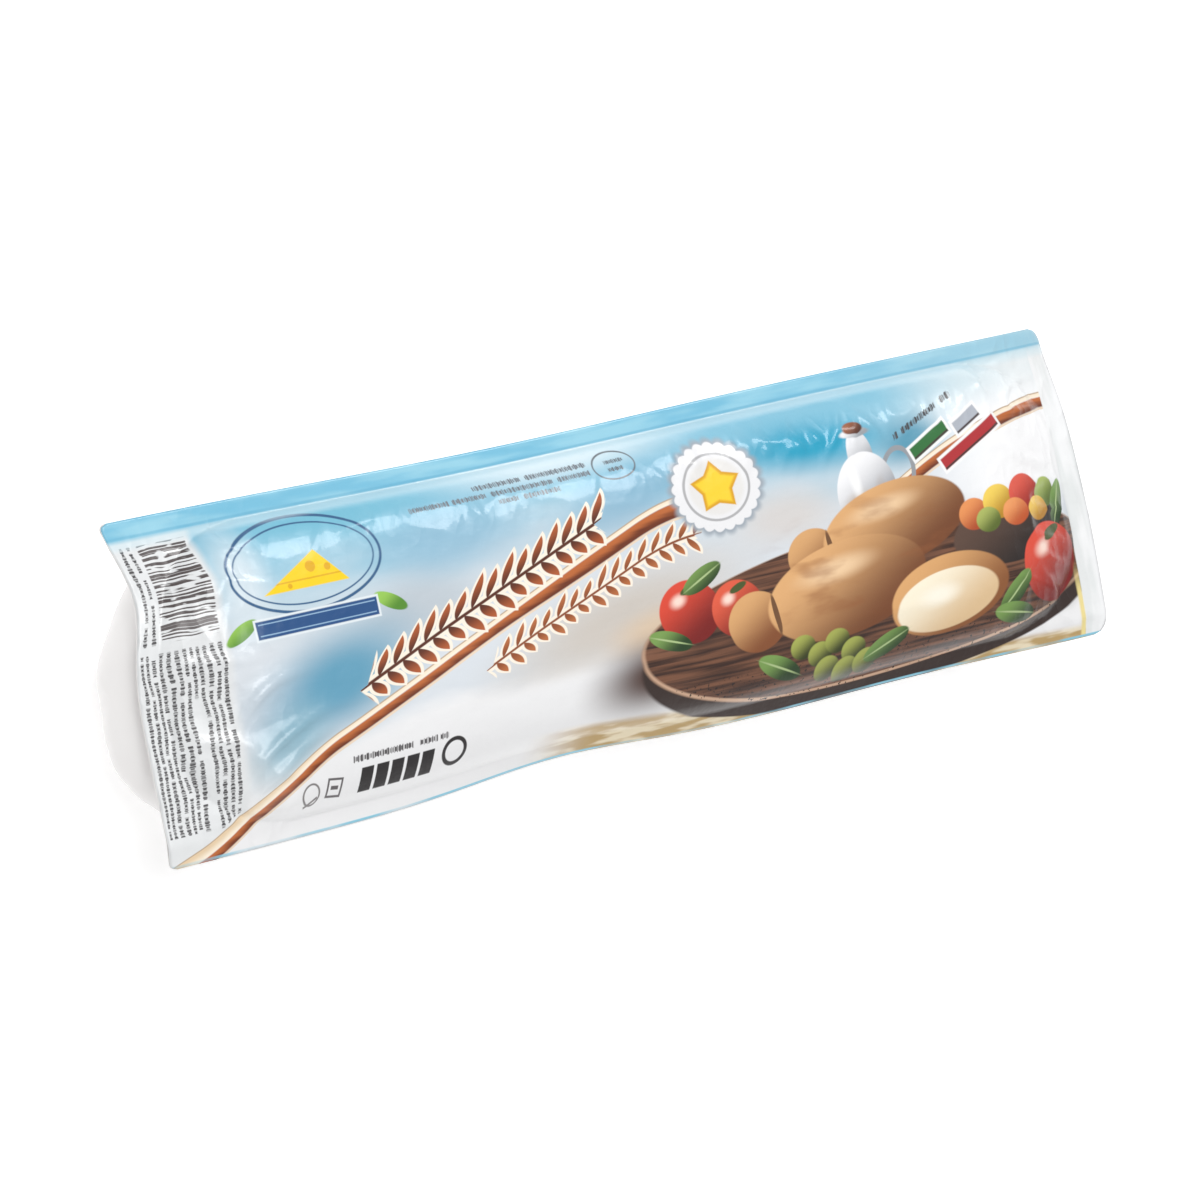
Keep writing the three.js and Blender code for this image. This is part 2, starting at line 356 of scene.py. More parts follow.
def make_tray(material):
    """The white tray and the log in it as one closed body of rings: over the log's top, hidden
    by the film, out to the seal's edge, round it, and down the trough to the middle of the base."""
    core, way = spokes(end_steps=8, corner_steps=40, side_steps=56)
    endness = np.abs(way[:, 0])
    rings = []
    for share in 0.06 + 0.94 * (1 - (1 - np.linspace(0, 1, 14)) ** 2):
        u, v = pocket_ring(core, way, share, TOP_END_RAMP, TOP_SIDE_RAMP)
        # The log's top stays below the film, and meets the seal at its rim
        hidden = 1.3 * np.clip((1 - share) * 9, 0, 1)
        rings.append(bend(u, v, log_rise(share, endness, v) - hidden))
    top_rim = pocket_ring(core, way, 1, TOP_END_RAMP, TOP_SIDE_RAMP)
    tray_rim = pocket_ring(core, way, 1, TRAY_END_RAMP, TRAY_SIDE_RAMP)
    for share in (0.35, 0.7, 1.0):
        rings.append(seal_ring(core, way, top_rim, share, 0))
    for share in (1.0, 0.7, 0.35):
        rings.append(seal_ring(core, way, tray_rim, share, -SEAL_THICKNESS))
    turn = np.linspace(math.pi / 2, 0.12, 44)
    for share in np.sin(turn) ** (2 / TRAY_ROUNDNESS):
        rings.append(tray_ring(core, way, share))
    rings = np.array(rings)
    top_middle = rings[0].mean(0) + [0, 0, 0.1]
    base_middle = np.array([0, 0, -TRAY_DEPTH])
    points = np.concatenate([rings.reshape(-1, 3), [top_middle, base_middle]])
    ring_total, around = rings.shape[:2]
    i = np.arange(around)
    following = (i + 1) % around
    inner = np.arange(ring_total - 1)[:, None] * around
    outer = inner + around
    band = np.stack([inner + i, outer + i, outer + following, inner + following], -1)
    last = (ring_total - 1) * around
    middle = ring_total * around
    top_fan = np.stack([np.full(around, middle), i, following], -1)
    base_fan = np.stack([np.full(around, middle + 1), last + following, last + i], -1)
    faces = [*band.reshape(-1, 4).tolist(), *top_fan.tolist(), *base_fan.tolist()]
    piece = make_piece("tray_web", points, faces, "filled_tray")
    piece.data.materials.append(material)


# ---------------------------------------------------------------- shader maths


def linear(red, green, blue):
    """A screen colour of 0 to 255 as the linear colour that Blender works in."""
    screen = (c / 255 for c in (red, green, blue))
    return [c / 12.92 if c <= 0.04045 else ((c + 0.055) / 1.055) ** 2.4 for c in screen] + [1.0]


class Value:
    """A number in a shader tree, so that its maths reads as plain Python."""

    def __init__(self, tree, socket):
        self.tree = tree
        self.socket = socket

    def __add__(self, other):
        return maths(self.tree, "ADD", self, other)

    def __sub__(self, other):
        return maths(self.tree, "SUBTRACT", self, other)

    def __rsub__(self, other):
        return maths(self.tree, "SUBTRACT", other, self)

    def __mul__(self, other):
        return maths(self.tree, "MULTIPLY", self, other)

    def __truediv__(self, other):
        return maths(self.tree, "DIVIDE", self, other)

    def __rtruediv__(self, other):
        return maths(self.tree, "DIVIDE", other, self)

    def __abs__(self):
        return maths(self.tree, "ABSOLUTE", self)

    __radd__ = __add__
    __rmul__ = __mul__


def plug(tree, pin, value):
    """Joins a value to an input, or sets a plain number, colour or vector on it."""
    if isinstance(value, Value):
        tree.links.new(value.socket, pin)
    else:
        pin.default_value = value


def maths(tree, operation, *values):
    """A Math node on values or plain numbers."""
    node = tree.nodes.new("ShaderNodeMath")
    node.operation = operation
    for pin, value in zip(node.inputs, values):
        plug(tree, pin, value)
    return Value(tree, node.outputs[0])


def add_node(tree, kind, settings=None, output=0, **inputs):
    """Any other node: its type, its settings, and its inputs by name with _ for a space."""
    node = tree.nodes.new("ShaderNode" + kind)
    for name, value in (settings or {}).items():
        setattr(node, name, value)
    for name, value in inputs.items():
        plug(tree, node.inputs[name.replace("_", " ")], value)
    return Value(tree, node.outputs[output])


def smallest(a, b):
    """The smaller of two values."""
    return maths(a.tree, "MINIMUM", a, b)


def largest(a, b):
    """The larger of two values."""
    return maths(a.tree, "MAXIMUM", a, b)


def step(x, start, end):
    """0 before start, 1 after end, smooth between; start may be the larger of the two."""
    low, high, flip = (start, end, False) if start < end else (end, start, True)
    node = x.tree.nodes.new("ShaderNodeMapRange")
    node.interpolation_type = "SMOOTHSTEP"
    numbers = (low, high, 1.0, 0.0) if flip else (low, high, 0.0, 1.0)
    plug(x.tree, node.inputs[0], x)
    for pin, number in zip(node.inputs[1:5], numbers):
        pin.default_value = number
    return Value(x.tree, node.outputs[0])


class Print:
    """Inks laid over each other on one zone of the flat film. x and y are flat film millimetres,
    which the film's own map holds in units of MAP_UNIT. Shapes outside the zone are skipped."""

    def __init__(self, tree, ground, start, end):
        self.tree = tree
        self.start, self.end = start, end
        self.flat = add_node(tree, "UVMap", {"uv_map": "flat_film"})
        self.x = self.gradient("LINEAR", self.local(-160, 0, 320, 320)) * 320.0 - 160.0
        self.y = self.gradient("LINEAR", self.local(0, -50, 100, 100, 90)) * 100.0 - 50.0
        self.colour = linear(*ground)

    def local(self, x, y, size_x, size_y, turn=0.0):
        """The place on the film as seen from a turned, stretched frame at x, y."""
        return add_node(
            self.tree,
            "Mapping",
            {"vector_type": "TEXTURE"},
            Vector=self.flat,
            Location=(x / MAP_UNIT, y / MAP_UNIT, 0),
            Rotation=(0, 0, math.radians(turn)),
            Scale=(size_x / MAP_UNIT, size_y / MAP_UNIT, 1),
        )

    def gradient(self, kind, place):
        """0 to 1 along the place's x, or 1 at its middle down to 0 at a distance of 1."""
        return add_node(self.tree, "TexGradient", {"gradient_type": kind}, output=1, Vector=place)

    def noise(self, stretch, detail, seed):
        """Soft noise around 0.5, its grain stretch millimetres long and wide, moved by the seed."""
        place = self.local(seed * stretch[0], seed * stretch[1], *stretch)
        settings = {"noise_dimensions": "2D"}
        return add_node(self.tree, "TexNoise", settings, Vector=place, Scale=1.0, Detail=detail)

    def line_noise(self, place):
        """Noise around 0.5 along a line."""
        settings = {"noise_dimensions": "1D"}
        return add_node(self.tree, "TexNoise", settings, W=place, Scale=1.0, Detail=0.0)

    def dashes(self, place, off, half):
        """A line broken into long groups and short strokes of two heights. place counts strokes
        along it, off is the distance from its middle, half is half the height of its tall ones."""
        groups = step(self.line_noise(place * 0.17 + 0.5), 0.25, 0.29)
        strokes = step(self.line_noise(place), 0.36, 0.60) * 0.6 + 0.4
        tall = step(self.line_noise(place * 0.7 + 9.3), 0.44, 0.56) * 0.35 + 0.65
        return groups * strokes * step(off - tall * half, half * 0.2, half * -0.2)

    def near(self, x, y, size_x, size_y, inner, outer, turn):
        """1 up to inner times an ellipse's size, 0 beyond outer times it, smooth between."""
        place = self.local(x, y, size_x * outer, size_y * outer, turn)
        return step(self.gradient("SPHERICAL", place), 0.0, 1 - inner / outer)

    def mix(self, share, under, over):
        """The colour under where share is 0, the colour over where it is 1."""
        node = self.tree.nodes.new("ShaderNodeMix")
        node.data_type = "RGBA"
        for pin, value in ((0, share), (6, under), (7, over)):
            plug(self.tree, node.inputs[pin], value)
        return Value(self.tree, node.outputs[2])

    def ink(self, share, colour):
        """Lays an ink over what is there, as strongly as share says."""
        over = colour if isinstance(colour, Value) else linear(*colour)
        self.colour = self.mix(share, self.colour, over)

    def along(self, x, y, turn):
        """Millimetres from x, y in the direction turn."""
        c, s = math.cos(math.radians(turn)), math.sin(math.radians(turn))
        return self.x * c + (self.y * s - (x * c + y * s))

    def disc(self, x, y, size_x, size_y, turn, soft=0.3):
        """1 inside an ellipse, 0 outside, with an edge soft millimetres wide."""
        edge = soft / min(size_x, size_y) / 2
        return self.near(x, y, size_x, size_y, 1 - edge, 1 + edge, turn)

    def outside(self, x, reach):
        """Whether a shape that reaches so far from x misses the zone."""
        return x + reach < self.start or x - reach > self.end

    def spot(self, x, y, size_x, size_y, colour, turn=0.0):
        """A flat ellipse of colour."""
        if not self.outside(x, max(size_x, size_y) + 1):
            self.ink(self.disc(x, y, size_x, size_y, turn), colour)

    def glow(self, x, y, size_x, size_y, colour, strength, turn=0.0):
        """A wide soft spot of colour."""
        if self.outside(x, max(size_x, size_y)):
            return
        self.ink(self.near(x, y, size_x, size_y, 0.15, 1, turn) * strength, colour)

    def ball(self, x, y, size_x, size_y, shade, light, turn=0.0, soft=0.5):
        """A rounded thing, lit from the upper left: from shade round to light."""
        if self.outside(x, max(size_x, size_y) + 1):
            return
        cover = self.disc(x, y, size_x, size_y, turn, soft)
        reach = math.hypot(0.5 * size_x, 0.86 * size_y)
        lit = step(self.along(x, y, 120), -0.8 * reach, 0.9 * reach)
        self.ink(cover, self.mix(lit, linear(*shade), linear(*light)))

    def bar(self, x, y, half_length, half_height, turn, colour, soft=0.25):
        """A straight bar with square ends."""
        if self.outside(x, half_length + half_height):
            return
        past_end = abs(self.along(x, y, turn)) - half_length
        past_side = abs(self.along(x, y, turn + 90)) - half_height
        self.ink(step(largest(past_end, past_side), soft / 2, -soft / 2), colour)

    def ring(self, x, y, size_x, size_y, thickness, colour, turn=0.0):
        """The outline of an ellipse."""
        if self.outside(x, max(size_x, size_y) + thickness):
            return
        outer = self.disc(x, y, size_x + thickness / 2, size_y + thickness / 2, turn)
        inner = self.disc(x, y, size_x - thickness / 2, size_y - thickness / 2, turn)
        self.ink(outer - inner, colour)


# ---------------------------------------------------------------- the print

# Inks
WHITE = (238, 238, 239)
BADGE_BLUE, BAND_BLUE, THREAD_BLUE = (46, 92, 134), (30, 78, 132), (150, 184, 214)
COLUMN_BLACK, ICON_GREY, LINE_GREY = (70, 68, 70), (96, 92, 94), (98, 104, 112)

# The diagonal ribbon: its slope, its height at x = 0, its dip at the left end, and how it bends
# over at the right
RIBBON_SLOPE, RIBBON_HEIGHT = 0.36, 16
RIBBON_DIP, RIBBON_BEND = 9, 0.0085

# The badge's middle, and the middle of the band below it
BADGE_X, BADGE_Y, BAND_Y = -108, 25.5, 10.4

# The panel of stripes and dashes at the left end: its right edge, and where the stripes stand
PANEL_EDGE = -136.5
STRIPES_Y, STRIPES_HALF = 25.5, 13.2


def lay_sky(p):
    """The field: sky blue along the far side, paler towards the middle, white below, and a pale
    patch painted as sheen along the far band.
    """
    cloud = p.noise((46, 15), 3, 3.7)
    height = p.y + (cloud - 0.5) * 18
    p.ink(step(height, 4, 37), (128, 190, 214))
    p.ink(step(height, -14, -24), WHITE)
    p.glow(-96, 38, 46, 12, (112, 184, 208), 0.9)
    # Painted sheen: a pale patch along the far band, where the far shoulder would catch the light
    p.glow(-20, 39, 56, 9, (214, 232, 240), 1.0)
    p.glow(-76, 8, 28, 13, (188, 198, 206), 0.9)
    p.glow(-105, -7, 38, 19, (82, 152, 182), 0.95, 16)
    p.glow(-123, -20, 20, 12, (128, 174, 192), 0.8, 34)
    p.glow(-64, 24, 36, 14, (140, 184, 208), 0.8)
    p.glow(-4, 24, 36, 12, (132, 176, 202), 0.7, 14)


def ribbon_height(p):
    """The middle of the diagonal ribbon: straight, dipping at the left end, flatter at the right."""
    late = largest(p.x + 5, 0.0)
    dip = step(p.x, -108, -150) * RIBBON_DIP
    return p.x * RIBBON_SLOPE + RIBBON_HEIGHT - dip - late * late * RIBBON_BEND


def lay_ribbon(p, off, half_width, cream_width):
    """A brown ribbon with a cream edge above it; off is the height above its middle."""
    above = off - half_width
    p.ink(step(abs(above - cream_width), 0.45, 0.1), (186, 160, 132))
    cream = p.mix(step(above, 0, 2.6), linear(252, 240, 220), linear(232, 206, 170))
    p.ink(step(above, -0.2, 0.2) * step(above - cream_width, 0.1, -0.2), cream)
    p.ink(step(abs(off + half_width + 0.3), 0.55, 0.25), (236, 214, 190))
    grain = p.noise((20, 1.6), 2, 1.2)
    lit = step(off + (grain - 0.5) * 2, -1.3, 1.1)
    brown = p.mix(lit, linear(108, 46, 16), linear(190, 104, 50))
    p.ink(step(abs(off) - half_width, 0.2, -0.3), brown)


def lay_garland(p, off, start, count, pitch, tall, wide, dark, light, outline):
    """A branch of leaves on both sides of a stalk, leaning along the film. With t the share of
    a leaf's length from the stalk, its half width is wide times 4 t (1 - t)."""
    reach = abs(off)
    below = step(off, 0.1, -0.1) * 0.5
    place = (p.x - reach * 0.75 - start) / pitch + below
    cell = maths(p.tree, "FLOOR", place)
    size = add_node(p.tree, "TexWhiteNoise", {"noise_dimensions": "1D"}, W=cell + start) * 0.3 + 0.72
    share = reach / (size * tall)
    across = abs(place - cell - 0.5) * pitch
    leaf = share * (1 - share) * (4 * wide) - across
    depth = largest(leaf, wide * 0.32 - reach)
    within = step(place, -0.3, -0.2) * step(place, count + 0.1, count)
    p.ink(step(depth, -outline - 0.3, -outline + 0.1) * within, (250, 240, 224))
    brush = p.mix(step(share, 0.1, 0.95), linear(*dark), linear(*light))
    p.ink(step(depth, -0.12, 0.25) * within, brush)


def lay_edges(p):
    """The blue strip on the far seal with a painted highlight under it, a pale line along the
    crease, and a thin worn line on the near edge."""
    tone = p.noise((30, 4), 2, 9.3)
    strip = p.mix(step(tone, 0.35, 0.7), linear(122, 192, 220), linear(154, 210, 230))
    # Painted highlight: a pale line along the crease between the far seal and the log's side
    p.ink(step(abs(p.y - 39.6), 2.6, 0.3) * 0.6, (208, 230, 238))
    p.ink(step(p.y, 40.4, 41.2), p.mix(step(p.x, 60, 140) * 0.6, strip, linear(176, 212, 226)))
    p.ink(step(abs(p.y - 41.3), 0.6, 0.1) * 0.5, (104, 176, 206))
    worn = step(p.noise((22, 40), 1, 5.3), 0.36, 0.56) * 0.7 + 0.3
    p.ink(step(abs(p.y + 45.4), 0.55, 0.2) * worn, (138, 204, 226))


def lay_marks(p, rows, half_height, ink):
    """Rows of fine dashes; a row is its y, start and end."""
    for y, start, end in rows:
        if p.outside((start + end) / 2, (end - start) / 2):
            continue
        beside = abs(p.x - (start + end) / 2) - (end - start) / 2
        row = p.dashes(p.x / (half_height * 0.7) + y * 7.3, abs(p.y - y), half_height)
        p.ink(row * step(beside, 0.2, -0.2), ink)


def lay_panel_ground(p):
    """The white ground of the panel at the left end, down to the ribbon."""
    p.glow(-128, 24, 12, 20, (220, 230, 236), 0.8)
    left = step(p.x, PANEL_EDGE + 3, PANEL_EDGE) * step(p.y, 40.6, 39.6)
    p.ink(left * step(p.y - ribbon_height(p), -1, 1), (228, 230, 231))


def lay_panel(p):
    """The panel at the left end: dark cross stripes of uneven width with two bold lines of dashes
    beside them, and columns of small dashes below, all waved by the slack of the film."""
    wave = p.noise((9, 12), 1, 3.4) - 0.5
    stripes = step(p.line_noise((p.y + wave * 1.3) / 0.78), 0.46, 0.51)
    smudge = step(p.noise((5, 1.6), 1, 8.4), 0.30, 0.42)
    sides = step(abs(p.x + wave * 1.5 + 144), 7.6, 7.1)
    ends = step(abs(p.y - STRIPES_Y), STRIPES_HALF, STRIPES_HALF - 0.3)
    p.ink(stripes * (sides * ends) * smudge, (84, 76, 76))
    across = (p.x + wave * 2.4 + 158.2) / 1.85
    column = maths(p.tree, "FLOOR", across)
    line = p.dashes(p.y / 0.5 + column * 31.7, abs(across - column - 0.5), 0.3)
    low = step(abs(p.x + 147.2), 11.0, 10.7) * step(abs(p.y + 14), 24.2, 23.9)
    above_ribbon = step(p.y - ribbon_height(p), 5.0, 5.6)
    gap = step(abs(column - 7), 0.6, 0.4) * step(p.y, -2, -4)
    p.ink(line * low * above_ribbon * (1 - gap), COLUMN_BLACK)
    beside = p.x + wave * 2.4 + 154.9
    place = p.y / 0.6 + step(beside, -0.1, 0.1) * 31.7
    bold = p.dashes(place, abs(abs(beside) - 1.3), 0.62)
    p.ink(bold * step(abs(p.y - STRIPES_Y), 13.4, 13.0), COLUMN_BLACK)


def lay_badge(p):
    """A plain badge: a yellow wedge of cheese in a double blue oval, and below it a dark blue band
    with two thin lines and a green leaf at each end."""
    p.ring(BADGE_X, BADGE_Y, 23.5, 12.6, 0.8, BADGE_BLUE)
    p.ring(BADGE_X, BADGE_Y, 21.3, 10.6, 0.45, BADGE_BLUE)
    rise = (p.y - 19.2) - smallest((p.x + 122) * 0.52, (-96 - p.x) * 1.1)
    p.ink(step(rise, 0.3, -0.2) * step(p.y, 18.8, 19.2), (250, 210, 14))
    p.ink(step(abs(p.y - 21.3), 0.35, 0.1) * step(rise, 0.3, -0.2), (226, 176, 8))
    for x, y, size in ((-114, 20.2, 0.7), (-106.6, 24.3, 1.5), (-101.5, 23.4, 1.0)):
        p.spot(x, y, size, size, (226, 172, 8))
    for x, turn in ((-131, 28), (-85, -28)):
        p.ball(x, 10.8, 5.4, 2.0, (84, 140, 44), (150, 200, 84), turn, 0.3)
    p.bar(BADGE_X, BAND_Y, 19.3, 3.0, 0, (228, 236, 240), 0.4)
    p.bar(BADGE_X, BAND_Y, 18.7, 2.4, 0, BAND_BLUE, 0.4)
    for side in (-1, 1):
        p.bar(BADGE_X, BAND_Y + 1.5 * side, 18.0, 0.15, 0, THREAD_BLUE)


def lay_blocks(p):
    """A row of slanted black blocks and a ring, dashes over them, and two small grey icons."""
    slanted = p.x - p.y * 0.1
    cells = maths(p.tree, "PINGPONG", slanted + 97.3, 2.4)
    blocks = step(cells, 2.05, 1.8) * step(abs(p.y + 34.0), 3.3, 3.0)
    p.ink(blocks * step(abs(slanted + 87.8), 11.9, 11.8), (30, 26, 28))
    p.ring(-72.8, -33.0, 3.5, 3.3, 1.1, (36, 32, 34))
    lay_marks(p, ((-28.2, -105, -75),), 0.9, (70, 66, 68))
    oval_x, square_x, square_y = -118.0, -110.8, -34.2
    p.ring(oval_x, -34.6, 2.4, 2.7, 0.5, (120, 116, 116))
    p.bar(oval_x, -36.6, 2.1, 0.3, 30, (120, 116, 116))
    p.bar(square_x, square_y, 2.5, 2.5, -8, ICON_GREY)
    p.bar(square_x, square_y, 1.9, 1.9, -8, WHITE)
    p.bar(square_x, square_y, 1.2, 0.5, -8, ICON_GREY)


def lay_fine_lines(p):
    """Three grey rows of dashes high on the film, and an oval beside them."""
    lay_marks(p, ((35.4, -50, -13), (33.0, -72, -13), (30.6, -44, -24)), 0.75, (112, 118, 126))
    p.ring(-4.6, 33.6, 6.8, 3.9, 0.45, LINE_GREY)
    lay_marks(p, ((34.7, -8, -1), (32.5, -7, -2)), 0.6, LINE_GREY)


def lay_seal(p):
    """A round white seal with a finely scalloped edge, a grey ring and a plain yellow star. far
    is the distance from its middle, 1 at the scalloped edge and 1.35 where the gradient ends."""
    reach_out, scallops = 1.35, 24
    place = p.local(25, 21.5, 22.5, 19)
    far = (1 - p.gradient("SPHERICAL", place)) * reach_out
    turn = p.gradient("RADIAL", place)
    edge = far - abs(maths(p.tree, "SINE", turn * (scallops * math.pi))) * 0.06
    p.ink(step(edge, 1.0, 0.84), (158, 168, 178))
    p.ink(step(edge, 0.86, 0.82), (238, 238, 240))
    p.ink(step(abs(far - 0.66), 0.04, 0.01), (176, 176, 178))
    p.ink(step(far, 0.62, 0.50) * 0.5, (226, 222, 214))
    # A tenth of the star, from a tip at angle 0 to a notch at 36 degrees, folded ten times
    fold = maths(p.tree, "PINGPONG", turn * 5 + 0.25, 0.5) * (math.pi * 0.4)
    across_tip, along_tip = maths(p.tree, "SINE", fold), maths(p.tree, "COSINE", fold)
    reach = far * (along_tip * 0.59 + across_tip * 0.81)
    p.ink(step(reach, 0.33, 0.30), (222, 164, 20))
    p.ink(step(reach, 0.29, 0.22), (250, 212, 48))


def lay_cloth_and_board(p):
    """A beige cloth, a warm haze and a round wooden board with a dark near edge."""
    haze = p.near(-14, -9, 60, 17, 0.15, 1, 12) * step(p.y, -25, -19)
    p.ink(haze, (205, 198, 190))
    p.glow(-2, -14, 24, 9, (222, 192, 156), 0.7, 8)
    p.glow(46, 9, 26, 11, (216, 208, 202), 0.7)
    folds = p.noise((16, 3), 2, 7.7)
    cloth = p.mix(step(folds, 0.4, 0.62), linear(186, 156, 104), linear(232, 218, 188))
    p.ink(step(p.y + p.x * 0.03, -36.5, -39) * step(p.x, -50, -22), cloth)
    p.glow(-5, -26, 31, 14, (82, 60, 54), 1.0, 8)
    board_x, board_turn = 74, 1.2
    p.ink(p.disc(board_x, -24.5, 85, 22.5, board_turn, 0.5), (50, 34, 29))
    board = p.disc(board_x, -20.5, 84.5, 21.5, board_turn, 0.5)
    grain = p.noise((34, 1.4), 3, 2.2)
    p.ink(board, p.mix(step(grain, 0.3, 0.7), linear(54, 30, 21), linear(122, 80, 57)))
    p.ink(board - p.disc(board_x, -20.1, 83.6, 21.0, board_turn, 0.4), (206, 168, 140))
    crumbs = step(p.noise((1.2, 0.9), 1, 3.3), 0.66, 0.70)
    p.ink(crumbs * board * step(p.y, -30, -33), (36, 20, 16))


def lay_fruit(p, x, y, size, shade, light):
    """A round fruit with a soft shadow under it, a highlight and a short stalk."""
    p.glow(x + size * 0.2, y - size * 0.75, size * 1.5, size * 0.7, (40, 24, 20), 0.7)
    p.ball(x, y, size * 1.12, size, shade, light)
    p.glow(x - size * 0.35, y + size * 0.4, size * 0.45, size * 0.3, (255, 226, 212), 0.95, 20)
    p.spot(x + size * 0.15, y + size * 0.72, size * 0.4, size * 0.13, (70, 84, 36), 18)


def lay_leaf(p, x, y, size_x, size_y, turn):
    """A green leaf with a pale rib."""
    p.ball(x, y, size_x, size_y, (28, 58, 20), (120, 156, 80), turn, 0.3)
    p.spot(x, y, size_x * 0.85, 0.28, (172, 194, 136), turn)


def lay_jug(p):
    """A white milk jug with a handle, a dark lid and a shaded side."""
    jug_x = 75
    p.ring(jug_x + 12.0, 14, 5.4, 7.0, 1.5, (150, 154, 160), -16)
    p.ball(jug_x, 21, 4.4, 7.5, (140, 144, 150), (236, 237, 240))
    p.ball(jug_x, 10.5, 10.5, 11.5, (132, 136, 144), (248, 248, 250))
    p.ball(jug_x, 27.6, 5.2, 1.3, (150, 154, 160), (244, 244, 246))
    p.ball(jug_x, 28.9, 3.6, 1.6, (84, 42, 24), (158, 94, 62))
    p.glow(73, 5, 9, 8, (196, 166, 110), 0.7)
    p.glow(71.5, 14, 2.6, 7, (255, 255, 255), 0.9, 8)
    p.glow(79.5, 8, 3.0, 8, (178, 160, 146), 0.6, -8)


def lay_whole_cheese(p, x, y, size, turn):
    """A pear-shaped smoked cheese lying down: a body, a smaller head and a string at the neck."""
    tilt = math.radians(turn)
    along_x, along_y = size * math.cos(tilt), size * math.sin(tilt)
    head_x, head_y = x - 31 * along_x, y - 31 * along_y
    neck_x, neck_y = x - 24.5 * along_x, y - 24.5 * along_y
    p.glow(x - 2, y - 9 * size, 34 * size, 7 * size, (44, 28, 22), 0.8, turn)
    p.ball(head_x, head_y, 9.5 * size, 8 * size, (132, 76, 40), (220, 168, 112), turn)
    p.ball(x, y, 27 * size, 12.6 * size, (116, 66, 34), (226, 174, 118), turn)
    p.spot(neck_x, neck_y, 0.9, 5.6 * size, (112, 76, 46), turn)
    p.glow(x - 3, y + 5.5 * size, 18 * size, 4.5 * size, (246, 212, 170), 0.85, turn)


def lay_still_life(p):
    """Two whole cheeses, a cut half with a pale inside, fruit, leaves and a small dark basket."""
    lay_fruit(p, 8, -11, 9.0, (120, 18, 14), (222, 72, 50))
    lay_fruit(p, 24, -13, 8.0, (128, 26, 18), (226, 92, 64))
    lay_leaf(p, 14, -2.5, 7.5, 2.8, 24)
    lay_leaf(p, 0, -18, 7.0, 2.8, -18)
    lay_whole_cheese(p, 82, 0, 0.95, 7)
    lay_whole_cheese(p, 62, -14.5, 1.05, 6)
    smoke = p.noise((22, 7), 3, 5.9)
    p.ink(step(smoke, 0.52, 0.75) * p.disc(70, -8, 34, 16, 6, 14) * 0.5, (146, 88, 48))
    p.ball(124, -8.5, 23, 10, (26, 18, 18), (92, 68, 56), 4)
    morsels = (
        (110, -2.5, 5.6, 4.6, (176, 74, 34), (236, 150, 88)),
        (120, -0.5, 6.0, 5.0, (184, 134, 24), (246, 212, 92)),
        (131, 0.5, 6.2, 5.4, (150, 30, 24), (228, 92, 74)),
        (141, -1.0, 5.0, 4.4, (84, 106, 34), (170, 190, 96)),
        (115, -5.0, 4.6, 3.6, (88, 104, 36), (172, 184, 96)),
        (126, -4.5, 5.2, 4.0, (190, 84, 36), (240, 158, 96)),
        (136, -5.0, 4.6, 3.6, (184, 128, 30), (244, 204, 100)),
    )
    for x, y, size_x, size_y, shade, light in morsels:
        p.ball(x, y, size_x, size_y, shade, light)
    lay_leaf(p, 146, -5, 7.5, 2.8, 62)
    p.ball(97, -23, 21.5, 11.0, (138, 84, 44), (222, 168, 110), 5)
    p.ball(96, -24.6, 18.6, 8.3, (222, 190, 146), (252, 242, 218), 5)
    p.glow(93, -23, 11, 4.5, (254, 248, 232), 0.9, 5)
    lay_fruit(p, 138, -21, 11.5, (122, 18, 16), (224, 78, 58))
    green_fruit = ((44, -28), (50, -31), (56, -28.5), (62, -32), (53, -35.5), (60, -37), (67, -36))
    for x, y in green_fruit:
        p.ball(x, y, 4.3, 3.4, (48, 56, 12), (166, 174, 84))
    for x, y, turn in ((36, -32, -24), (74, -33, 20), (121, -27, 40), (121, -33, -10)):
        lay_leaf(p, x, y, 8.0, 3.0, turn)


def lay_far_corner(p):
    """The bright sky behind the jug and white cloud at the right."""
    for start, end, ink in ((84, 124, (208, 224, 230)), (118, 146, (232, 238, 240))):
        p.ink(step(p.x, start, end) * step(p.y, 22, 32) * step(p.y, 42, 38), ink)
    p.ink(step(p.x, 86, 124) * step(p.y, -8, 6) * step(p.y, 36, 25), (250, 250, 251))
    p.glow(60, 27, 42, 10, (30, 160, 194), 1.0, -3)
    p.glow(94, 22, 16, 9, (70, 146, 174), 0.9, 10)


def lay_bars(p):
    """Three short slanted bars in green, grey and red, edged white, with dashes over them."""
    for x, y, length, ink in (
        (100, 21.0, 7.5, (46, 112, 56)),
        (114.5, 24.6, 5.0, (176, 182, 192)),
        (114, 18.0, 12.0, (178, 44, 50)),
    ):
        p.bar(x, y, length + 0.9, 2.7, 24, (246, 246, 246), 0.5)
        p.bar(x, y, length, 1.8, 24, ink, 0.5)
        p.bar(x + 0.6, y - 1.3, length, 0.3, 24, (64, 48, 46), 0.5)
    slanted = p.y - p.x * 0.36
    row = p.dashes(p.x / 0.7, abs(slanted + 7.8), 1.0)
    p.ink(row * step(abs(p.x - 100), 12.2, 11.9), (66, 66, 70))


def lay_right_margin(p):
    """The print stops short of the right end: a bare white strip, greyed in soft streaks as painted
    shade of its ripples, pale yellow beside the print.
    """
    p.ink(step(abs(p.x - 150.6), 1.3, 0.4) * step(p.y, -22, -34), (240, 222, 150))
    # Painted shade: soft grey streaks on the bare strip where its ripples would fall into shade
    shade = step(p.noise((5, 26), 2, 4.1), 0.35, 0.65)
    bare = p.mix(shade, linear(230, 233, 233), linear(244, 245, 246))
    p.ink(step(p.x, 151.2, 151.7) * step(p.y, 40.2, 39.0), bare)


def lay_ribbon_part(p, off, half_width, start, end, cream_width):
    """The ribbon between two places along the film."""
    before = p.colour
    lay_ribbon(p, off, half_width, cream_width)
    between = step(p.x, start - 1, start + 1) * step(p.x, end + 1, end - 1)
    p.colour = p.mix(between, before, p.colour)


